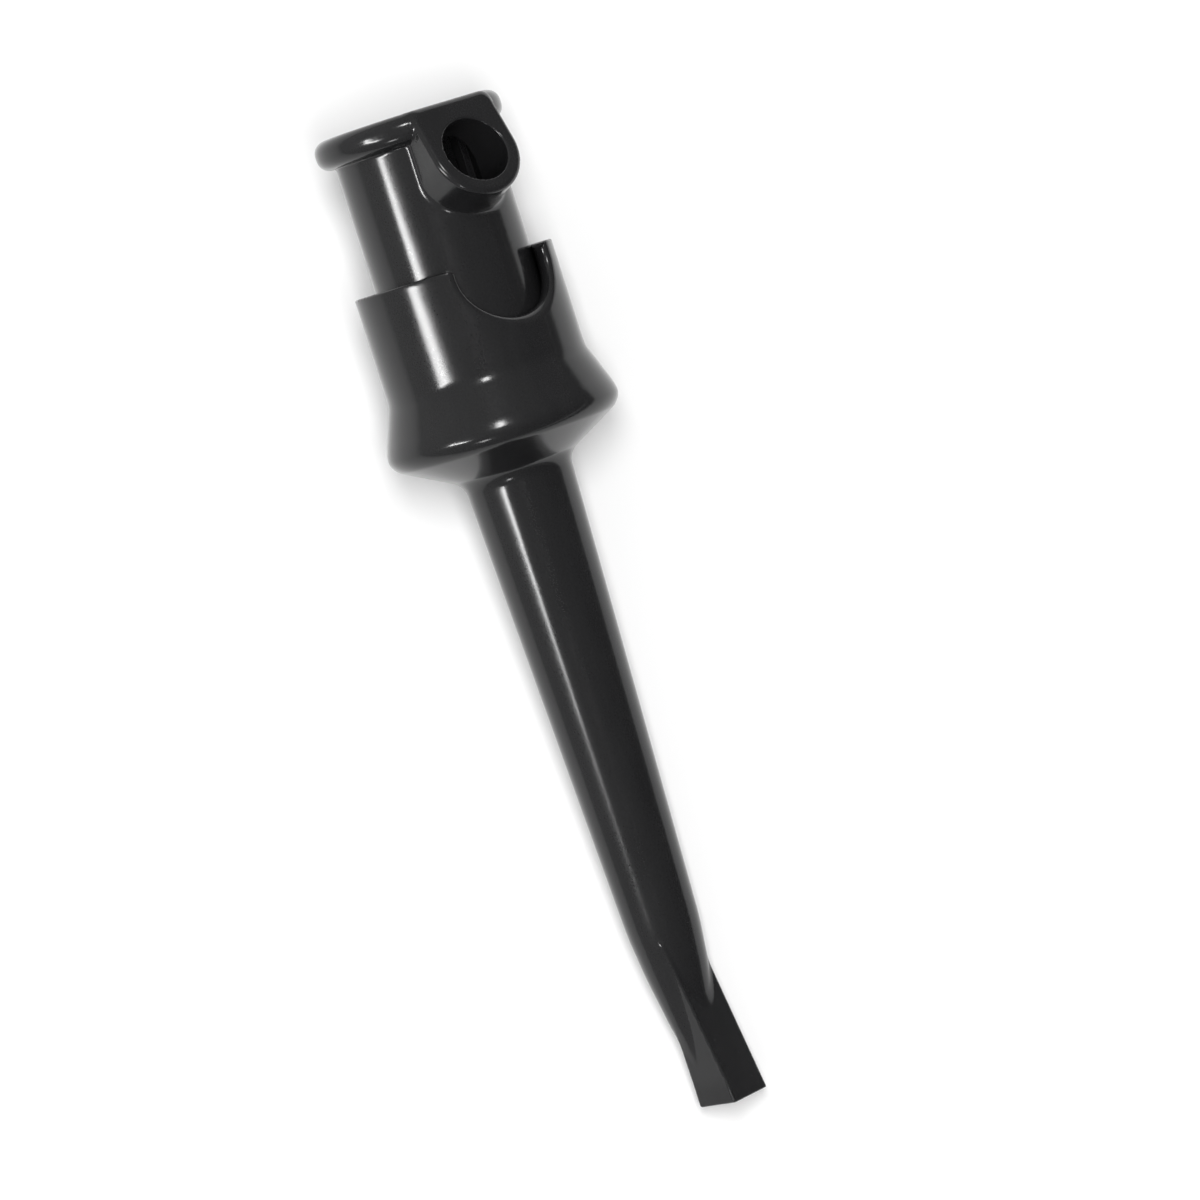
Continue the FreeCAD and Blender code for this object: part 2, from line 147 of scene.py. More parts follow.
class HousingSizes(bpy.types.PropertyGroup):
    """Cup, collar, nose and tip. Heights are measured from the end of the tip."""

    nose_end: length("Nose end", 7.74, "Height at which the nose closes in towards the tip")
    nose_end_radius: length("Nose end radius", 1.80, "Radius of the nose there")
    nose_end_blend: length("Nose end blend", 0.50, "Half the length of that soft bend")
    nose_foot: length("Nose foot", 1.80, "Height of the nose's foot, inside the tip")
    nose_foot_radius: length("Nose foot radius", 0.693, "Radius of the nose there")
    waist: length("Waist", 4.60, "Height at which the nose runs out onto the tip")
    waist_radius: length("Waist radius", 1.30, "Radius of the nose there")
    waist_blend: length("Waist blend", 0.40, "Half the length of that soft bend")
    shoulder: length("Nose shoulder", 10.24, "Height at which the nose starts to close in")
    shoulder_radius: length("Nose shoulder radius", 2.08, "Radius of the nose there")
    shoulder_blend: length("Nose shoulder blend", 0.75, "Half the length of that soft bend")
    nose_root: length("Nose root", 36.84, "Height at which the nose meets the collar")
    nose_root_radius: length("Nose root radius", 3.04, "Radius of the nose there")
    nose_blend: length("Nose blend", 0.50, "Hollow rounding between nose and collar")
    collar_radius: length("Collar radius", 6.636, "Collar's edge before it is rounded")
    underside_slope: angle("Underside slope", 28.7, "Collar's underside, from square")
    collar_rounding: length("Collar rounding", 0.55, "Rounding of the collar's edge")
    swell: length("Swell", 39.482, "Height at which the collar's side starts to flare in")
    swell_radius: length("Swell radius", 6.659, "Radius of the collar there")
    swell_blend: length("Swell blend", 0.60, "Half the length of that soft bend")
    cup_start: length("Cup start", 42.256, "Height at which the collar runs into the cup")
    cup_blend: length("Cup blend", 0.32, "Half the length of that hollow bend")
    cup_radius: length("Cup radius", 5.65, "Outside of the cup")
    cup_bore: length("Cup bore", 4.53, "Inside of the cup")
    rim: length("Rim", 48.336, "Height of the cup's rim")
    rim_rounding: length("Rim rounding", 0.13, "Rounding of the rim's outer edge")
    floor: length("Floor", 38.356, "Height of the cup's floor")
    floor_chamfer: length("Floor chamfer", 0.28, "Slope between the floor and the wall")
    pocket: length("Spring seat", 36.856, "Height of the spring's seat")
    pocket_radius: length("Spring pocket radius", 2.375, "Pocket that guides the spring")
    wire_bore: length("Wire bore radius", 0.41, "Bore for the hook's wire")
    slot_width: length("Slot width", 0.86, "Slot that the hook draws into")
    slot_pitch: length("Slot pitch", 1.20, "Middle of the bore to the slot's far end")
    slot_top: length("Slot top", 2.27, "Height at which the slot ends")
    notch_width: length("Notch width", 5.90, "Width of the notch for the lead")
    notch_bottom: length("Notch bottom", 44.85, "Height of the notch's lowest point")
    notch_rounding: length("Notch rounding", 0.55, "Rounding of the notch's edges")
    edge_rounding: length("Edge rounding", 0.07, "Rounding of the bore's edges")
    tip_front: length("Tip front", 1.965, "Axis to the two leaning flats, at the end")
    tip_front_root: length("Tip front at nose", 1.30, "Axis to those flats, at the nose")
    tip_back: length("Tip back", 0.81, "Axis to the two flats behind, at the end")
    tip_root: length("Tip root", 9.60, "Height of the bar's end inside the nose")
    tip_root_back: length("Tip back at root", 1.68, "Axis to the upper flat behind there")
    tip_under_root: length("Tip underside at root", 0.01, "Axis to the flat beneath there")
    tip_bend: length("Tip bend", 1.20, "Height at which the flats behind start to spread")
    tip_bend_blend: length("Tip bend blend", 0.50, "Half the length of that soft bend")
    tip_rounding: length("Tip edge rounding", 0.12, "Rounding of the tip's long edges")
    tip_blend: length("Tip blend", 0.12, "Hollow rounding between nose and tip")


class PlungerSizes(bpy.types.PropertyGroup):
    """Barrel, thumb flange and lead boss. Heights are measured from the end of the tip."""

    barrel_bottom: length("Barrel bottom", 44.286, "Height of the barrel's lower end")
    barrel_radius: length("Barrel radius", 4.43, "Outside of the barrel")
    barrel_bore: length("Barrel bore", 3.13, "Inside of the barrel")
    lead_in: length("Lead-in", 0.25, "Chamfer at the barrel's lower end")
    flange_bottom: length("Flange bottom", 55.486, "Height of the flange's underside")
    flange_top: length("Flange top", 57.136, "Height of the clip's end")
    flange_radius: length("Flange radius", 5.31, "Thumb flange")
    flange_rounding: length("Flange rounding", 0.72, "Rounding of the flange's edges")
    bore_top: length("Bore top", 55.636, "Height at which the bore ends")
    azimuth: angle("Boss azimuth", 34.6, "Turn of the boss and the notch about the clip")
    elevation: angle("Boss elevation", 21, "Slope of the lead hole")
    reach: length("Boss reach", 5.66, "Axis to the middle of the boss's face")
    drop: length("Boss drop", 2.95, "Clip's end down to the middle of the boss's face")
    boss_radius: length("Boss radius", 2.72, "Half the width of the boss")
    boss_rounding: length("Boss rounding", 0.32, "Rounding around the boss's face")
    boss_blend: length("Boss blend", 0.15, "Hollow rounding between boss and barrel")
    boss_foot: length("Boss foot", 0.30, "Hollow rounding beneath the boss")
    flange_blend: length("Flange blend", 0.12, "Hollow rounding under the flange")
    hole_radius: length("Hole radius", 1.90, "Lead hole")
    hole_rounding: length("Hole rounding", 0.12, "Rounding of the lead hole's mouth")
    rib_bottom: length("Rib bottom", 47.853, "Height at which the stop ribs start")
    rib_width: length("Rib width", 0.70, "Width of the stop ribs in the bore")
    rib_depth: length("Rib depth", 0.45, "How far the stop ribs stand in")


class MetalSizes(bpy.types.PropertyGroup):
    """Hook wire and return spring. Heights are measured from the end of the tip."""

    wire_radius: length("Wire radius", 0.35, "Hook wire")
    hook_pitch: length("Hook pitch", 1.20, "Wire's shank to its return leg")
    hook_height: length("Hook height", 1.07, "Height of the hook's middle")
    hook_leg: length("Hook leg", 1.15, "Straight end of the return leg")
    wire_top: length("Wire top", 48.553, "Height of the wire's upper end")
    spring_seat: length("Spring seat", 36.856, "Height of the spring's lower end")
    spring_top: length("Spring top", 47.253, "Height of the spring's upper end")
    spring_radius: length("Spring radius", 2.0, "Middle of the spring's wire")
    spring_wire: length("Spring wire radius", 0.175, "Thickness of the spring's wire, halved")
    spring_turns: number("Spring turns", 6.0, "Turns that climb, between two flat ones")
    spring_flat: number("Flat turns", 0.9, "Turn that lies flat at each end")


class Finishes(bpy.types.PropertyGroup):
    """Colours and gloss of the moulded and metal pieces."""

    nylon: colour("Nylon", "#1B1B1C", "Black nylon")
    nylon_flow: colour("Nylon, flow marks", "#212122", "Paler streaks where the melt ran")
    nylon_smooth: number("Nylon, smoothest", 0.13, "Roughness between the pimples")
    nylon_rough: number("Nylon, roughest", 0.19, "Roughness on the pimples")
    nylon_ior: number("Nylon IOR", 1.45, "Index of refraction, which sets the gloss")
    gold: colour("Gold plating", "#E2B45C", "Plated hook wire")
    brass: colour("Brass", "#C9A45A", "Turned brass")
    steel: colour("Spring steel", "#A9A9A6", "Drawn stainless wire")


class Studio(bpy.types.PropertyGroup):
    """Camera, lamps, floor and card. A lamp's width and length are as seen from the clip."""

    floor: colour("Floor", "#F4F4F4", "Matt white board")
    floor_size: length("Floor size", 3000, "Side of the board")
    floor_glow: number("Floor glow", 0.09, "White that the floor adds for the camera")
    card: colour("Card", "#707070", "Matt grey card, out of the picture to the right")
    card_aside: length("Card aside", 38, "Picture's middle to the card")
    card_height: length("Card height", 9, "How far the card stands up")
    card_reach: length("Card reach", 200, "How far the card runs up and down the picture")
    room_bright: number("Room, bright side", 0.60, "Brightness of the room's bright side")
    room_dim: number("Room, dim side", 0.10, "Brightness of the room's dim side")
    fill: number("Overhead light", 19.3, "Brightness of the light overhead")
    fill_away: length("Overhead distance", 300, "Clip to the overhead light")
    fill_lean: angle("Overhead lean", 1.9, "Lean of the overhead light to the right")
    fill_width: angle("Overhead width", 13.4, "Short side of the overhead light")
    fill_length: angle("Overhead length", 34, "Long side of the overhead light")
    lamp_away: length("Lamp distance", 600, "Clip to the three lamps that show in its gloss")
    lamp: number("Main lamp", 33.0, "Brightness of the lamp that draws the long streaks")
    lamp_azimuth: angle("Main lamp azimuth", -46.0, "Turn of the main lamp about the clip")
    lamp_height: angle("Main lamp height", -1.0, "Lean of the main lamp along the clip")
    lamp_turn: angle("Main lamp turn", 58, "Turn of the lamp's long side out of line")
    lamp_width: angle("Main lamp width", 6.6, "Short side of the main lamp")
    lamp_length: angle("Main lamp length", 20, "Long side of the main lamp")
    second: number("Second lamp", 34.0, "Brightness of the lamp that dots the collar")
    second_azimuth: angle("Second lamp azimuth", -2, "Turn of that lamp about the clip")
    second_height: angle("Second lamp height", 24, "Lean of that lamp along the clip")
    second_width: angle("Second lamp width", 7, "Short side of that lamp")
    second_length: angle("Second lamp length", 10, "Long side of that lamp")
    third: number("Third lamp", 15.0, "Brightness of the lamp beyond the tip")
    third_azimuth: angle("Third lamp azimuth", -25, "Turn of that lamp about the clip")
    third_height: angle("Third lamp height", -42, "Lean of that lamp along the clip")
    third_width: angle("Third lamp width", 7, "Each side of that lamp")
    aim_across: length("Aim across", 2.16, "Picture's middle, from the clip's axis")
    aim_along: length("Aim along", 28.57, "Picture's middle, from the end of the tip")
    distance: length("Camera distance", 300, "Camera to the clip")
    near: length("Camera near limit", 10, "Nearest that the camera sees")
    lens: number("Lens", 163.4, "Focal length in millimetres")
    sensor: number("Sensor", 36.0, "Width of the camera's sensor in millimetres")
    roll: angle("Camera roll", 17.75, "Turn of the picture")
    tilt: angle("Camera tilt", 2.97, "Lean of the camera towards the tip")


def clip_axes():
    """Matrix from the clip's own frame to the frame of the whole model."""
    along = -Vector(PRESS["axis"]).normalized()
    across = Vector((0, -1, 0))
    up = across.cross(along)
    grip = Vector(MOUNTS["hook_grip"]["pos_m"])
    base = grip - across * bpy.context.scene.clip_metal.hook_pitch / 2
    return Matrix.Translation(base) @ Matrix((up, across, along)).transposed().to_4x4()


# Distance fields: below nought inside the material, above nought outside


def join(a, b, blend=0):
    """Both shapes together, with a hollow rounding between them."""
    return np.maximum(blend, np.minimum(a, b)) - np.hypot(np.maximum(blend - a, 0),
                                                          np.maximum(blend - b, 0))


def common(a, b, rounding=0):
    """What two shapes share, with a rounded edge."""
    return np.minimum(-rounding, np.maximum(a, b)) + np.hypot(np.maximum(rounding + a, 0),
                                                              np.maximum(rounding + b, 0))


def cut(a, b, rounding=0):
    """The first shape without the second, with a rounded edge."""
    return common(a, -b, rounding)


def bent(z, start, end, bends):
    """Value and slope at z of straight runs from start to end, softened at the bends.

    start and end are (height, value), and each bend is (height, value, half length).
    """
    points = [start] + [bend[:2] for bend in bends] + [end]
    slopes = [(b[1] - a[1]) / (b[0] - a[0]) for a, b in zip(points, points[1:])]
    value = start[1] + slopes[0] * (z - start[0])
    slope = np.full_like(z, slopes[0])
    for (height, _, half), before, after in zip(bends, slopes, slopes[1:]):
        past = z - height
        value += (after - before) * np.where(np.abs(past) < half,
                                             (past + half) ** 2 / (4 * half),
                                             np.maximum(past, 0))
        slope += (after - before) * np.clip((past + half) / (2 * half), 0, 1)
    return value, slope


def turned_side(radius, z, start, end, bends):
    """Distance to the side of a turned form."""
    value, slope = bent(z, start, end, bends)
    return (radius - value) / np.hypot(1, slope)


def tip_field(size, x, y, z):
    """Square bar on its edge, which leans across and spreads behind towards the nose."""
    front, _ = bent(z, (0, size.tip_front), (size.nose_end, size.tip_front_root), [])
    spread = [(size.tip_bend, size.tip_back, size.tip_bend_blend)]
    sides = []
    for place, root in (((x + y) / math.sqrt(2), size.tip_under_root),
                        ((y - x) / math.sqrt(2), size.tip_root_back)):
        back, slope = bent(z, (0, size.tip_back), (size.tip_root, root), spread)
        sides.append(np.maximum(place - front, (-place - back) / np.hypot(1, slope)))
    bar = common(*sides, size.tip_rounding)
    bar = common(bar, -z, size.tip_rounding / 2)
    return np.maximum(bar, z - size.tip_root)


def cavity_field(size, x, y, z):
    """Cup's bore, spring pocket, wire bore and hook slot."""
    radius = np.hypot(x, y)
    wall = radius - size.cup_bore
    chamfer = (radius - size.cup_bore + size.floor_chamfer - (z - size.floor)) / math.sqrt(2)
    bore = np.maximum(np.maximum(wall, chamfer), size.floor - z)
    pocket = np.maximum(radius - size.pocket_radius, size.pocket - z)
    inside = np.minimum(bore, np.minimum(pocket, radius - size.wire_bore))
    slot = np.hypot(x, y - np.clip(y, 0, size.slot_pitch)) - size.slot_width / 2
    return np.minimum(inside, np.maximum(slot, z - size.slot_top))


def boss_places(x, y):
    """Places out along the boss's azimuth and across it."""
    turn = bpy.context.scene.clip_plunger.azimuth
    return (x * math.cos(turn) + y * math.sin(turn),
            y * math.cos(turn) - x * math.sin(turn))


def housing_field(x, y, z):
    """Cup, collar, nose and tip, with the notch and the bores."""
    size = bpy.context.scene.clip_housing
    radius = np.hypot(x, y)
    nose = turned_side(radius, z, (size.nose_foot, size.nose_foot_radius),
                       (size.nose_root, size.nose_root_radius),
                       [(size.waist, size.waist_radius, size.waist_blend),
                        (size.nose_end, size.nose_end_radius, size.nose_end_blend),
                        (size.shoulder, size.shoulder_radius, size.shoulder_blend)])
    nose = np.maximum(nose, size.nose_foot - z)
    slope = math.tan(size.underside_slope)
    corner = size.nose_root + (size.collar_radius - size.nose_root_radius) * slope
    cup = turned_side(radius, z, (corner, size.collar_radius), (size.rim, size.cup_radius),
                      [(size.swell, size.swell_radius, size.swell_blend),
                       (size.cup_start, size.cup_radius, size.cup_blend)])
    underside = size.nose_root + (radius - size.nose_root_radius) * slope - z
    cup = common(cup, underside * math.cos(size.underside_slope), size.collar_rounding)
    shape = join(np.maximum(nose, z - size.rim), cup, size.nose_blend)
    shape = common(shape, z - size.rim, size.rim_rounding)
    shape = join(shape, tip_field(size, x, y, z), size.tip_blend)
    shape = cut(shape, cavity_field(size, x, y, z), size.edge_rounding)
    out, across = boss_places(x, y)
    middle = size.notch_bottom + size.notch_width / 2
    notch = np.hypot(across, np.minimum(z - middle, 0)) - size.notch_width / 2
    return cut(shape, np.maximum(notch, -out), size.notch_rounding)


def plunger_field(x, y, z):
    """Barrel, thumb flange and lead boss, bored from below and through the boss."""
    size = bpy.context.scene.clip_plunger
    radius = np.hypot(x, y)
    out, across = boss_places(x, y)
    lean, rise = math.sin(size.elevation), math.cos(size.elevation)
    height = z - (size.flange_top - size.drop)
    beyond = (out - size.reach) * rise + height * lean
    above = height * rise - (out - size.reach) * lean
    barrel = radius - size.barrel_radius
    chamfer = (radius - size.barrel_radius + size.lead_in
               - (z - size.barrel_bottom)) / math.sqrt(2)
    barrel = np.maximum(np.maximum(barrel, chamfer), size.barrel_bottom - z)
    boss = np.hypot(across, np.minimum(above, 0)) - size.boss_radius
    foot = np.clip(-above / size.boss_radius, 0, 1) * (size.boss_foot - size.boss_blend)
    shape = join(barrel, np.maximum(boss, -out), size.boss_blend + foot)
    flange = common(radius - size.flange_radius, size.flange_bottom - z,
                    size.flange_rounding)
    shape = join(shape, flange, size.flange_blend)
    shape = common(shape, z - size.flange_top, size.flange_rounding)
    shape = common(shape, beyond, size.boss_rounding)
    bore = np.maximum(radius - size.barrel_bore, z - size.bore_top)
    for quarter in (1, 2, 3):   # a stop rib on every side but the boss's
        turn = size.azimuth + quarter * math.pi / 2
        along = x * math.cos(turn) + y * math.sin(turn)
        aside = y * math.cos(turn) - x * math.sin(turn)
        rib = np.maximum(np.abs(aside) - size.rib_width / 2,
                         size.barrel_bore - size.rib_depth - along)
        bore = np.maximum(bore, -np.maximum(rib, size.rib_bottom - z))
    hole = np.hypot(across, above) - size.hole_radius
    hole = np.maximum(hole, -size.reach - beyond)
    shape = cut(shape, bore, size.hole_rounding)
    return cut(shape, hole, size.hole_rounding)


def ticks(stops, steps):
    """Grid planes in metres, from stops and the step between each pair, in millimetres."""
    planes = [stops[0]]
    for low, high, step in zip(stops, stops[1:], steps):
        planes += list(np.linspace(low, high, max(1, round((high - low) / step)) + 1)[1:])
    return np.array(planes) * MM


def steepest(field, points):
    """Value of a field at points, and its gradient."""
    slope = np.empty_like(points)
    for axis in range(3):
        near, far = points.copy(), points.copy()
        near[:, axis] -= PROBE
        far[:, axis] += PROBE
        slope[:, axis] = (field(*far.T) - field(*near.T)) / (2 * PROBE)
    return field(*points.T), slope


def skin(field, planes):
    """Points, faces and normals of the closed surface where a field is nought."""
    value = field(*np.meshgrid(*planes, indexing="ij"))
    cells = [len(plane) - 1 for plane in planes]
    owners, crossings, faces = [], [], []
    for axis in range(3):
        # Grid lines along this axis that the surface crosses, and the place on each
        low = tuple(slice(None, -1) if i == axis else slice(None) for i in range(3))
        high = tuple(slice(1, None) if i == axis else slice(None) for i in range(3))
        start = np.argwhere((value[low] < 0) != (value[high] < 0))
        end = start.copy()
        end[:, axis] += 1
        before, after = value[tuple(start.T)], value[tuple(end.T)]
        point = np.stack([planes[i][start[:, i]] for i in range(3)], 1)
        point[:, axis] += before / (before - after) * (planes[axis][end[:, axis]]
                                                       - planes[axis][start[:, axis]])
        # The four cells around such a line share the crossing and span one face
        ring = []
        for aside, above in ((0, 0), (-1, 0), (-1, -1), (0, -1)):
            cell = start.copy()
            cell[:, (axis + 1) % 3] += aside
            cell[:, (axis + 2) % 3] += above
            ring.append(np.ravel_multi_index(tuple(cell.T), cells))
            owners.append(ring[-1])
            crossings.append(point)
        ring = np.stack(ring, 1)
        faces.append(np.where((before < 0)[:, None], ring, ring[:, ::-1]))
    owners, crossings = np.concatenate(owners), np.concatenate(crossings)
    # One point for each cell, amid its crossings, which is then moved onto the surface
    used, index = np.unique(owners, return_inverse=True)
    counts = np.bincount(index)
    points = np.stack([np.bincount(index, crossings[:, i]) / counts for i in range(3)], 1)
    for _ in range(SETTLING_ROUNDS):
        height, slope = steepest(field, points)
        points -= slope * (height / np.maximum((slope ** 2).sum(1), LEAST_SLOPE))[:, None]
    _, slope = steepest(field, points)
    normals = slope / np.linalg.norm(slope, axis=1)[:, None]
    return points, np.searchsorted(used, np.concatenate(faces)), normals


def swept(path, aside, radius, sides=20, rounds=4):
    """Points, faces and normals of a round wire along a path, with rounded ends.

    aside is a direction square to the path at each of its points.
    """
    along = np.gradient(path, axis=0)
    along /= np.linalg.norm(along, axis=1)[:, None]
    other = np.cross(along, aside)
    around = np.linspace(0, 2 * math.pi, sides, endpoint=False)
    rings, normals = [], []
    ends = [(0, -1), (len(path) - 1, 1)]
    quarter = np.linspace(0, math.pi / 2, rounds, endpoint=False)
    # Each ring's place on the path, the end that it rounds if any, and its lean there
    stations = [(0, -1, t) for t in quarter[:0:-1]] + [(i, 0, 0) for i in range(len(path))]
    stations += [(len(path) - 1, 1, t) for t in quarter[1:]]
    for i, side, lean in stations:
        out = np.outer(np.cos(around), aside[i]) + np.outer(np.sin(around), other[i])
        normal = out * math.cos(lean) + side * along[i] * math.sin(lean)
        normals.append(normal)
        rings.append(path[i] + radius * normal)
    points = np.concatenate(rings + [[path[i] + side * radius * along[i]] for i, side in ends])
    normals = np.concatenate(normals + [[side * along[i]] for i, side in ends])
    faces = []
    last = len(rings) - 1
    for ring in range(last):
        for k in range(sides):
            a, b = ring * sides + k, ring * sides + (k + 1) % sides
            faces.append((a, b, b + sides, a + sides))
    for k in range(sides):
        after = (k + 1) % sides
        faces.append((after, k, len(points) - 2))
        faces.append((last * sides + k, last * sides + after, len(points) - 1))
    return points, faces, normals


def piece(name, shape, material, body):
    """Smooth mesh object made of points, faces and normals, riding on a body."""
    points, faces, normals = shape
    place = np.array(clip_axes())
    mesh = bpy.data.meshes.new(name)
    mesh.from_pydata(points @ place[:3, :3].T + place[:3, 3], [],
                     [tuple(int(i) for i in face) for face in faces])
    mesh.shade_smooth()
    mesh.normals_split_custom_set_from_vertices(normals @ place[:3, :3].T)
    mesh.materials.append(material)
    made = bpy.data.objects.new(name, mesh)
    bpy.context.collection.objects.link(made)
    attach(made, body)
    return made


def node(tree, kind, inputs, **settings):
    """Adds a node with its settings; an input is a value, or a (node, output) to link."""
    made = tree.nodes.new(kind)
    for name, value in settings.items():
        setattr(made, name, value)
    for name, value in inputs.items():
        if isinstance(value, tuple) and isinstance(value[0], bpy.types.Node):
            tree.links.new(value[0].outputs[value[1]], made.inputs[name])
        else:
            made.inputs[name].default_value = value
    return made


def new_material(name):
    """Empty node material and its tree."""
    material = bpy.data.materials.new(name)
    material.use_nodes = True
    material.node_tree.nodes.clear()
    return material, material.node_tree


def lengthwise(tree):
    """Coordinates in millimetres, turned so that x runs along the clip."""
    place = node(tree, "ShaderNodeTexCoord", {})
    lean = math.atan2(-PRESS["axis"][2], -PRESS["axis"][0])
    return node(tree, "ShaderNodeMapping",
                {"Vector": (place, "Object"), "Rotation": (0, lean, 0),
                 "Scale": (1 / MM, 1 / MM, 1 / MM)}, vector_type="POINT")


def black_nylon():
    """Nylon moulded in polished steel.

    It gives the eye a deep black with long, clean highlights. Shallow sink marks make
    their edges waver, and fine pimples and flow marks keep it from looking like glass.
    """
    material, tree = new_material("black_moulded_nylon")
    finish = bpy.context.scene.clip_finishes
    place = lengthwise(tree)
    streaks = node(tree, "ShaderNodeMapping", {"Vector": (place, 0),
                                               "Scale": (1 / FLOW_STRETCH, 1, 1)})
    flow = node(tree, "ShaderNodeTexNoise", {"Vector": (streaks, 0), "Scale": FLOW_MARKS,
                                             "Detail": 3.0, "Roughness": 0.5})
    pimples = node(tree, "ShaderNodeTexNoise", {"Vector": (place, 0), "Scale": PIMPLES,
                                                "Detail": 2.0, "Roughness": 0.6})
    amount = node(tree, "ShaderNodeMath", {0: (flow, "Fac"), 1: (pimples, "Fac")},
                  operation="MULTIPLY")
    shade = node(tree, "ShaderNodeMapRange",
                 {"Value": (amount, 0), "From Min": STREAK_SPREAD[0],
                  "From Max": STREAK_SPREAD[1]})
    tint = node(tree, "ShaderNodeMix", {"Factor": (shade, 0)}, data_type="RGBA")
    tint.inputs["A"].default_value = (*finish.nylon, 1)
    tint.inputs["B"].default_value = (*finish.nylon_flow, 1)
    gloss = node(tree, "ShaderNodeMapRange",
                 {"Value": (pimples, "Fac"), "From Min": PIMPLE_SPREAD[0],
                  "From Max": PIMPLE_SPREAD[1], "To Min": finish.nylon_smooth,
                  "To Max": finish.nylon_rough})
    ripples = node(tree, "ShaderNodeTexNoise", {"Vector": (place, 0), "Scale": SINK_MARKS,
                                                "Detail": 1.0})
    sunk = node(tree, "ShaderNodeBump", {"Height": (ripples, "Fac"), "Strength": 1.0,
                                         "Distance": SINK_DEPTH * MM})
    rough = node(tree, "ShaderNodeBump", {"Height": (pimples, "Fac"), "Strength": 1.0,
                                          "Distance": PIMPLE_HEIGHT * MM,
                                          "Normal": (sunk, 0)})
    shader = node(tree, "ShaderNodeBsdfPrincipled",
                  {"Base Color": (tint, "Result"), "Roughness": (gloss, 0),
                   "IOR": finish.nylon_ior, "Normal": (rough, 0)})
    node(tree, "ShaderNodeOutputMaterial", {"Surface": (shader, 0)})
    return material


def metal(name, tone, roughness, grain, stretch):
    """Bare metal with fine marks, grain millimetres wide and stretch times as long."""
    material, tree = new_material(name)
    place = lengthwise(tree)
    drawn = node(tree, "ShaderNodeMapping", {"Vector": (place, 0),
                                             "Scale": (1 / stretch, 1, 1)})
    marks = node(tree, "ShaderNodeTexNoise", {"Vector": (drawn, 0), "Scale": 1 / grain,
                                              "Detail": 3.0})
    shade = node(tree, "ShaderNodeMix", {"Factor": (marks, "Fac")}, data_type="RGBA")
    shade.inputs["A"].default_value = (*[MARK_SHADE * part for part in tone], 1)
    shade.inputs["B"].default_value = (*tone, 1)
    gloss = node(tree, "ShaderNodeMapRange", {"Value": (marks, "Fac"),
                                              "To Min": MARK_GLOSS[0] * roughness,
                                              "To Max": MARK_GLOSS[1] * roughness})
    bump = node(tree, "ShaderNodeBump", {"Height": (marks, "Fac"), "Strength": 1.0,
                                         "Distance": MARK_DEPTH * MM})
    shader = node(tree, "ShaderNodeBsdfPrincipled",
                  {"Base Color": (shade, "Result"), "Roughness": (gloss, 0),
                   "Metallic": 1.0, "Normal": (bump, 0)})
    node(tree, "ShaderNodeOutputMaterial", {"Surface": (shader, 0)})
    return material


class CLIP_OT_housing(bpy.types.Operator):
    """Makes the cup, collar, nose and tip in one moulding"""

    bl_idname = "clip.housing"
    bl_label = "Housing"

    def execute(self, context):
        across, along = ticks(*HOUSING_ACROSS), ticks(*HOUSING_ALONG)
        made = piece("housing_moulding", skin(housing_field, (across, across, along)),
                     black_nylon(), "housing_body")
        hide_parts("housing")
        return {"FINISHED"}


class CLIP_OT_plunger(bpy.types.Operator):
    """Makes the barrel, thumb flange and lead boss in one moulding"""

    bl_idname = "clip.plunger"
    bl_label = "Plunger"

    def execute(self, context):
        across, along = ticks(*PLUNGER_ACROSS), ticks(*PLUNGER_ALONG)
        made = piece("plunger_moulding", skin(plunger_field, (across, across, along)),
                     black_nylon(), "plunger_body")
        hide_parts("plunger")
        return {"FINISHED"}


class CLIP_OT_hook(bpy.types.Operator):
    """Makes the wire hook"""

    bl_idname = "clip.hook"
    bl_label = "Hook wire"

    def execute(self, context):
        size = context.scene.clip_metal
        bend = np.linspace(-math.pi, 0, BEND_POINTS)
        half = size.hook_pitch / 2
        rows = [(0, z) for z in np.linspace(size.wire_top - size.wire_radius,
                                            size.hook_height, SHANK_POINTS, endpoint=False)]
        rows += [(half + half * math.cos(a), size.hook_height + half * math.sin(a))
                 for a in bend]
        leg = size.hook_leg - size.wire_radius
        rows += [(size.hook_pitch, size.hook_height + step * leg / LEG_POINTS)
                 for step in range(1, LEG_POINTS + 1)]
        path = np.array([(0, y, z) for y, z in rows])
        aside = np.tile((1.0, 0, 0), (len(path), 1))
        # Gold plated on drawn wire: warm and bright, with faint lines from the die
        wire = metal("gold_plated_wire", context.scene.clip_finishes.gold,
                     roughness=0.18, grain=0.05, stretch=20)
        made = piece("hook", swept(path, aside, size.wire_radius), wire,
                     "plunger_body")
        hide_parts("hook_wire")
        return {"FINISHED"}


class CLIP_OT_spring(bpy.types.Operator):
    """Makes the return spring, with a flat turn at each end"""

    bl_idname = "clip.spring"
    bl_label = "Return spring"

    def execute(self, context):
        size = context.scene.clip_metal
        turns = np.linspace(-size.spring_flat, size.spring_turns + size.spring_flat,
                            SPRING_POINTS)
        climb = size.spring_top - size.spring_seat - 2 * size.spring_wire
        height = size.spring_seat + size.spring_wire
        height += climb * np.clip(turns / size.spring_turns, 0, 1)
        aside = np.stack([np.cos(2 * math.pi * turns), np.sin(2 * math.pi * turns),
                          np.zeros_like(turns)], 1)
        path = aside * size.spring_radius
        path[:, 2] = height
        # Drawn stainless wire: grey, half bright, with short marks from the coiling tool
        steel = metal("drawn_spring_steel", context.scene.clip_finishes.steel,
                      roughness=0.25, grain=0.05, stretch=4)
        made = piece("spring_coil", swept(path, aside, size.spring_wire, sides=12), steel,
                     "housing_body")
        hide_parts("return_spring")
        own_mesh(made)
        return {"FINISHED"}


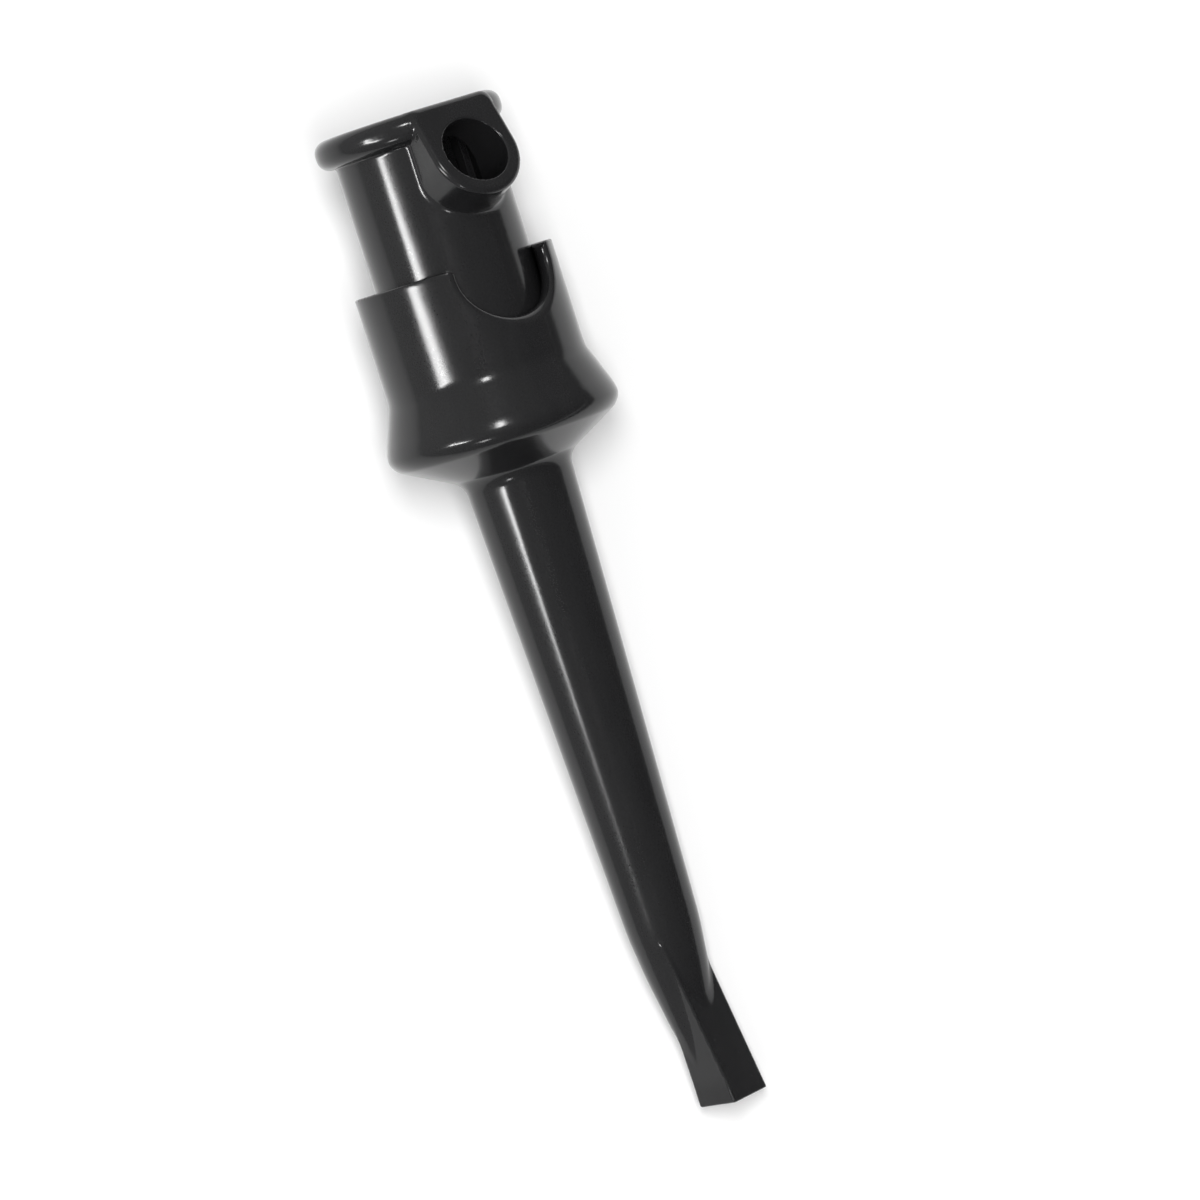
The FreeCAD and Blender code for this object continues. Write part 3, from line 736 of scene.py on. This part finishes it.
class CLIP_OT_terminal(bpy.types.Operator):
    """Gives the turned terminal its brass"""

    bl_idname = "clip.terminal"
    bl_label = "Terminal"

    def execute(self, context):
        # Turned brass: yellow and bright, with fine rings around it from the lathe
        brass = metal("turned_brass", context.scene.clip_finishes.brass,
                      roughness=0.22, grain=0.06, stretch=0.2)
        mesh = frame["nodes"]["terminal"].data
        mesh.materials.clear()
        mesh.materials.append(brass)
        return {"FINISHED"}


def floor_material():
    """Painted board: matt and white, with a soft shadow.

    It glows a little for the camera, so that it comes out white without more light.
    """
    material, tree = new_material("matt_white_board")
    studio = bpy.context.scene.clip_studio
    board = node(tree, "ShaderNodeBsdfDiffuse", {"Color": (*studio.floor, 1)})
    rays = node(tree, "ShaderNodeLightPath", {})
    seen = node(tree, "ShaderNodeMath", {0: (rays, "Is Camera Ray"),
                                         1: (rays, "Is Glossy Ray")}, operation="MAXIMUM")
    seen = node(tree, "ShaderNodeMath", {0: (seen, 0), 1: (rays, "Is Transmission Ray")},
                operation="MAXIMUM")
    strength = node(tree, "ShaderNodeMath", {0: (seen, 0), 1: studio.floor_glow},
                    operation="MULTIPLY")
    glow = node(tree, "ShaderNodeEmission", {"Strength": (strength, 0)})
    both = node(tree, "ShaderNodeAddShader", {0: (board, 0), 1: (glow, 0)})
    node(tree, "ShaderNodeOutputMaterial", {"Surface": (both, 0)})
    return material


def card_material():
    """Grey paper card: matt, and seen only as the darker edge of the clip's gloss."""
    material, tree = new_material("matt_grey_card")
    paper = node(tree, "ShaderNodeBsdfDiffuse",
                 {"Color": (*bpy.context.scene.clip_studio.card, 1)})
    node(tree, "ShaderNodeOutputMaterial", {"Surface": (paper, 0)})
    return material


def lamp_direction(azimuth, height):
    """Direction of a lamp seen from the clip: turned about the clip, and along it."""
    axes = clip_axes().to_3x3()
    out = axes @ Vector((math.cos(azimuth), math.sin(azimuth), 0))
    return (out * math.cos(height) + axes @ Vector((0, 0, math.sin(height)))).normalized()


def lamp(name, direction, target, away, spans, radiance, shine, turn=0):
    """Area lamp that faces the target, with its long side along the clip or turned from it.

    Its spans are the angles that it covers, seen from the target. A lamp that shines shows
    in the gloss alone; one that doesn't lights without showing.
    """
    light = bpy.data.lights.new(name, "AREA")
    light.shape = "RECTANGLE"
    light.size, light.size_y = (2 * away * math.tan(span / 2) for span in spans)
    # Power that gives the radiance over the lamp's face
    light.energy = radiance * math.pi * light.size * light.size_y
    made = bpy.data.objects.new(name, light)
    bpy.context.collection.objects.link(made)
    along = clip_axes().to_3x3() @ Vector((0, 0, 1))
    side = Matrix.Rotation(turn, 3, direction) @ along.cross(direction).normalized()
    made.matrix_world = Matrix.Translation(target + direction * away) @ Matrix(
        (side, direction.cross(side), direction)).transposed().to_4x4()
    made.visible_diffuse = not shine
    made.visible_glossy = shine


def room_light():
    """Room that is bright on the side of the main lamp and dim on the other."""
    studio = bpy.context.scene.clip_studio
    room = bpy.data.worlds.new("room")
    room.use_nodes = True
    tree = room.node_tree
    tree.nodes.clear()
    place = node(tree, "ShaderNodeTexCoord", {})
    across = node(tree, "ShaderNodeVectorMath", {0: (place, "Generated"), 1: BRIGHT_SIDE},
                  operation="DOT_PRODUCT")
    level = node(tree, "ShaderNodeMapRange",
                 {"Value": (across, "Value"), "From Min": -1.0, "From Max": 1.0,
                  "To Min": studio.room_dim, "To Max": studio.room_bright})
    sky = node(tree, "ShaderNodeBackground", {"Strength": (level, 0)})
    sky.inputs["Color"].default_value = (1, 1, 1, 1)
    node(tree, "ShaderNodeOutputWorld", {"Surface": (sky, 0)})
    return room


def sheet(name, corners, material):
    """Flat sheet with four corners."""
    mesh = bpy.data.meshes.new(name)
    mesh.from_pydata(corners, [], [(0, 1, 2, 3)])
    mesh.materials.append(material)
    made = bpy.data.objects.new(name, mesh)
    bpy.context.collection.objects.link(made)
    return made


def light_clip(studio, middle):
    """Lamps whose places show in the clip's gloss, and the light that draws its shadow."""
    main = lamp_direction(studio.lamp_azimuth, studio.lamp_height)
    lamp("main_lamp", main, middle, studio.lamp_away,
         (studio.lamp_width, studio.lamp_length), studio.lamp, True, studio.lamp_turn)
    second = lamp_direction(studio.second_azimuth, studio.second_height)
    lamp("second_lamp", second, middle, studio.lamp_away,
         (studio.second_width, studio.second_length), studio.second, True)
    third = lamp_direction(studio.third_azimuth, studio.third_height)
    lamp("third_lamp", third, middle, studio.lamp_away,
         (studio.third_width, studio.third_width), studio.third, True)
    over = Vector((0, -math.sin(studio.fill_lean), math.cos(studio.fill_lean)))
    lamp("overhead_light", over, middle, studio.fill_away,
         (studio.fill_width, studio.fill_length), studio.fill, False)


def picture_sides(studio):
    """Directions in which the picture's right and top lie, and the way back to the camera."""
    back = Vector((-math.sin(studio.tilt), 0, math.cos(studio.tilt)))
    along = Vector((math.cos(studio.tilt), 0, math.sin(studio.tilt)))
    aside = Vector((0, -1, 0))
    right = aside * math.cos(studio.roll) - along * math.sin(studio.roll)
    up = along * math.cos(studio.roll) + aside * math.sin(studio.roll)
    return right, up, back


class CLIP_OT_studio(bpy.types.Operator):
    """Makes the floor, the card, the lamps, the room and the camera"""

    bl_idname = "clip.studio"
    bl_label = "Studio"

    def execute(self, context):
        studio = context.scene.clip_studio
        middle = clip_axes() @ Vector((0, studio.aim_across, studio.aim_along))
        right, up, back = picture_sides(studio)
        ground = cad_box[0][2]
        half = studio.floor_size / 2
        board = sheet("board", [(-half, -half, ground), (half, -half, ground),
                                (half, half, ground), (-half, half, ground)],
                      floor_material())

        foot = Vector((middle.x, middle.y, ground)) + right * studio.card_aside
        reach, rise = up * studio.card_reach, Vector((0, 0, studio.card_height))
        card = sheet("grey_card", [foot - reach, foot + reach, foot + reach + rise,
                                   foot - reach + rise], card_material())
        card.visible_camera = card.visible_diffuse = card.visible_shadow = False

        light_clip(studio, middle)
        context.scene.world = room_light()

        camera = bpy.data.objects.new("camera", bpy.data.cameras.new("camera"))
        camera.data.lens = studio.lens
        camera.data.sensor_width = studio.sensor
        camera.data.clip_start = studio.near
        camera.matrix_world = Matrix.Translation(middle + back * studio.distance) @ Matrix(
            (right, up, back)).transposed().to_4x4()
        context.collection.objects.link(camera)
        context.scene.camera = camera
        context.scene.view_settings.view_transform = "Standard"
        return {"FINISHED"}


OPERATORS = (CLIP_OT_housing, CLIP_OT_plunger, CLIP_OT_hook, CLIP_OT_terminal,
             CLIP_OT_spring, CLIP_OT_studio)


class CLIP_PT_panel(bpy.types.Panel):
    """Lists the pieces and the values they are made from"""

    bl_idname = "CLIP_PT_panel"
    bl_label = "Test clip"
    bl_space_type = "VIEW_3D"
    bl_region_type = "UI"
    bl_category = "Test clip"

    def draw(self, context):
        for operator in OPERATORS:
            self.layout.operator(operator.bl_idname)
        for name in GROUPS:
            box = self.layout.box()
            group = getattr(context.scene, name)
            for key in group.bl_rna.properties.keys():
                if key not in ("rna_type", "name"):
                    box.prop(group, key)


GROUPS = {"clip_housing": HousingSizes, "clip_plunger": PlungerSizes,
          "clip_metal": MetalSizes, "clip_finishes": Finishes, "clip_studio": Studio}
CLASSES = (*GROUPS.values(), *OPERATORS, CLIP_PT_panel)


def register():
    """Registers the classes and hangs the values on the scene."""
    for each in CLASSES:
        bpy.utils.register_class(each)
    for name, group in GROUPS.items():
        setattr(bpy.types.Scene, name, bpy.props.PointerProperty(type=group))


def unregister():
    """Takes the values and the classes away again."""
    for name in GROUPS:
        delattr(bpy.types.Scene, name)
    for each in reversed(CLASSES):
        bpy.utils.unregister_class(each)


def main():
    """Builds every piece and the studio."""
    register()
    bpy.ops.clip.housing()
    bpy.ops.clip.plunger()
    bpy.ops.clip.hook()
    bpy.ops.clip.terminal()
    bpy.ops.clip.spring()
    bpy.ops.clip.studio()
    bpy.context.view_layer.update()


if __name__ == "__main__":
    main()
